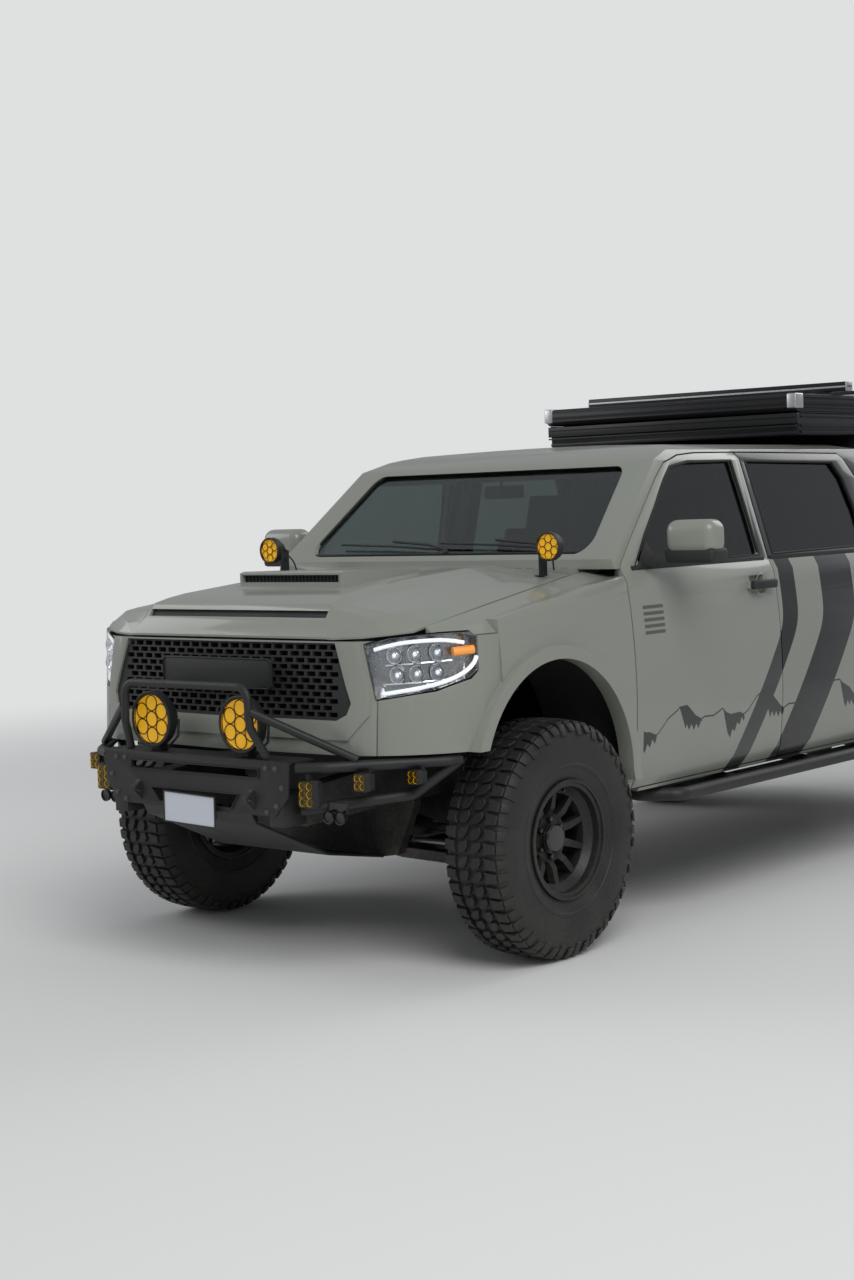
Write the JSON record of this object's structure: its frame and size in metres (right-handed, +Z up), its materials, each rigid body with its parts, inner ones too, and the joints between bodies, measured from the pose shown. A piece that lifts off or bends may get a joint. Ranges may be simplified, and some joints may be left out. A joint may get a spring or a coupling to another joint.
{
  "type": "lifted off-road pickup truck",
  "caption": "Lifted crew-cab off-road pickup on mud tyres, with a tube front bumper, added lamps, side steps and a camper with a hard wedge tent over the bed.",
  "frame": {"origin": "on the ground, in the middle of the length and of the width", "axes": "+Z up, the nose faces -Y, the vehicle's left side is +X"},
  "size_m": [2.5598, 5.91, 2.328],
  "materials": {
    "paint": "satin",
    "glass": "tinted",
    "plastic": "matte",
    "fabric": "matte",
    "lamp": "clear",
    "tail_lamp": "gloss",
    "soft_plastic": "matte",
    "steel": "satin",
    "iron": "cast",
    "coated_steel": "textured",
    "rim": "matte",
    "tyre": "matte",
    "camper": "coated"
  },
  "bodies": {
    "chassis": {"cab_shell": "paint", "fascia": "paint", "front_wings": "paint", "bed": "paint", "fixed_glass": "glass", "dashboard": "plastic", "arch_liners": "plastic", "grille": "plastic", "fuel_tank": "plastic", "seats": "fabric", "headlamps": "lamp", "bumper_lamps": "lamp", "tail_lamps": "tail_lamp", "frame_ladder": "steel", "rear_axle": "steel", "leaf_springs": "steel", "control_arms": "steel", "dampers": "steel", "rack_housing": "steel", "driveline": "steel", "exhaust": "steel", "engine_block": "iron", "bumper_plate": "coated_steel", "bumper_tubes": "coated_steel", "side_steps": "coated_steel", "rear_bumper": "coated_steel", "spare_wheel": "tyre", "camper_frame": "camper", "tent_base": "camper"},
    "hood": {"hood": "paint", "ditch_lamps": "lamp"},
    "door_front_left": {"door_front_left": "paint", "glass_front_left": "glass", "mirror_left": "paint"},
    "door_front_right": {"door_front_right": "paint", "glass_front_right": "glass", "mirror_right": "paint"},
    "door_rear_left": {"door_rear_left": "paint", "glass_rear_left": "glass"},
    "door_rear_right": {"door_rear_right": "paint", "glass_rear_right": "glass"},
    "tailgate": {"tailgate": "paint"},
    "tent_lid": {"tent_lid": "camper"},
    "hatch_left": {"hatch_left": "camper"},
    "hatch_right": {"hatch_right": "camper"},
    "hatch_rear": {"hatch_rear": "camper"},
    "knuckle_left": {"knuckle_left": "steel"},
    "knuckle_right": {"knuckle_right": "steel"},
    "steering_link": {"steering_link": "steel"},
    "steering_wheel": {"steering_wheel": "soft_plastic"},
    "wheel_front_left": {"rim_front_left": "rim", "tyre_front_left": "tyre"},
    "wheel_front_right": {"rim_front_right": "rim", "tyre_front_right": "tyre"},
    "wheel_rear_left": {"rim_rear_left": "rim", "tyre_rear_left": "tyre"},
    "wheel_rear_right": {"rim_rear_right": "rim", "tyre_rear_right": "tyre"}
  },
  "joints": [
    {"name": "steer_left", "type": "hinge", "parent": "chassis", "child": "knuckle_left", "pos_m": [0.735, -1.925, 0.47], "axis": [0, 0, 1], "range_deg": [-30, 30]},
    {"name": "steer_right", "type": "hinge", "parent": "chassis", "child": "knuckle_right", "pos_m": [-0.735, -1.925, 0.47], "axis": [0, 0, 1], "range_deg": [-30.1, 30.1]},
    {"name": "steering_link_slide", "type": "slide", "parent": "chassis", "child": "steering_link", "axis": [1, 0, 0], "range_m": [-0.079, 0.079]},
    {"name": "steering_wheel_turn", "type": "hinge", "parent": "chassis", "child": "steering_wheel", "pos_m": [0.38, -0.9, 1.372], "axis": [0, 0.9191, 0.3939], "range_deg": [-451, 451]},
    {"name": "hood_hinge", "type": "hinge", "parent": "chassis", "child": "hood", "pos_m": [0, -1.5, 1.478], "axis": [-1, 0, 0], "range_deg": [0, 50]},
    {"name": "door_front_left_hinge", "type": "hinge", "parent": "chassis", "child": "door_front_left", "pos_m": [1.006, -1.343, 1.1], "axis": [0, 0, -1], "range_deg": [0, 65]},
    {"name": "door_front_right_hinge", "type": "hinge", "parent": "chassis", "child": "door_front_right", "pos_m": [-1.006, -1.343, 1.1], "axis": [0, 0, 1], "range_deg": [0, 65]},
    {"name": "door_rear_left_hinge", "type": "hinge", "parent": "chassis", "child": "door_rear_left", "pos_m": [1.006, -0.175, 1.1], "axis": [0, 0, -1], "range_deg": [0, 60]},
    {"name": "door_rear_right_hinge", "type": "hinge", "parent": "chassis", "child": "door_rear_right", "pos_m": [-1.006, -0.175, 1.1], "axis": [0, 0, 1], "range_deg": [0, 60]},
    {"name": "tailgate_hinge", "type": "hinge", "parent": "chassis", "child": "tailgate", "pos_m": [0, 2.818, 0.912], "axis": [-1, 0, 0], "range_deg": [0, 90]},
    {"name": "tent_lid_hinge", "type": "hinge", "parent": "chassis", "child": "tent_lid", "pos_m": [0, 0.42, 2.177], "axis": [1, 0, 0], "range_deg": [0, 30]},
    {"name": "hatch_left_hinge", "type": "hinge", "parent": "chassis", "child": "hatch_left", "pos_m": [0.7884, 1.965, 2.01], "axis": [0, -1, 0], "range_deg": [0, 95]},
    {"name": "hatch_right_hinge", "type": "hinge", "parent": "chassis", "child": "hatch_right", "pos_m": [-0.7884, 1.965, 2.01], "axis": [0, 1, 0], "range_deg": [0, 95]},
    {"name": "hatch_rear_hinge", "type": "hinge", "parent": "chassis", "child": "hatch_rear", "pos_m": [0, 2.86, 2.01], "axis": [1, 0, 0], "range_deg": [0, 95]},
    {"name": "wheel_front_left_spin", "type": "hinge", "parent": "knuckle_left", "child": "wheel_front_left", "pos_m": [0.926, -1.925, 0.47], "axis": [1, 0, 0], "continuous": true},
    {"name": "wheel_front_right_spin", "type": "hinge", "parent": "knuckle_right", "child": "wheel_front_right", "pos_m": [-0.926, -1.925, 0.47], "axis": [1, 0, 0], "continuous": true},
    {"name": "wheel_rear_left_spin", "type": "hinge", "parent": "chassis", "child": "wheel_rear_left", "pos_m": [0.926, 1.775, 0.47], "axis": [1, 0, 0], "continuous": true},
    {"name": "wheel_rear_right_spin", "type": "hinge", "parent": "chassis", "child": "wheel_rear_right", "pos_m": [-0.926, 1.775, 0.47], "axis": [1, 0, 0], "continuous": true}
  ],
  "couplings": [
    {"joint": "steer_right", "follows": "steer_left", "ratio": 1},
    {"joint": "steering_link_slide", "follows": "steer_left", "m_per_rad": 0.15},
    {"joint": "steering_wheel_turn", "follows": "steer_left", "ratio": 15}
  ]
}
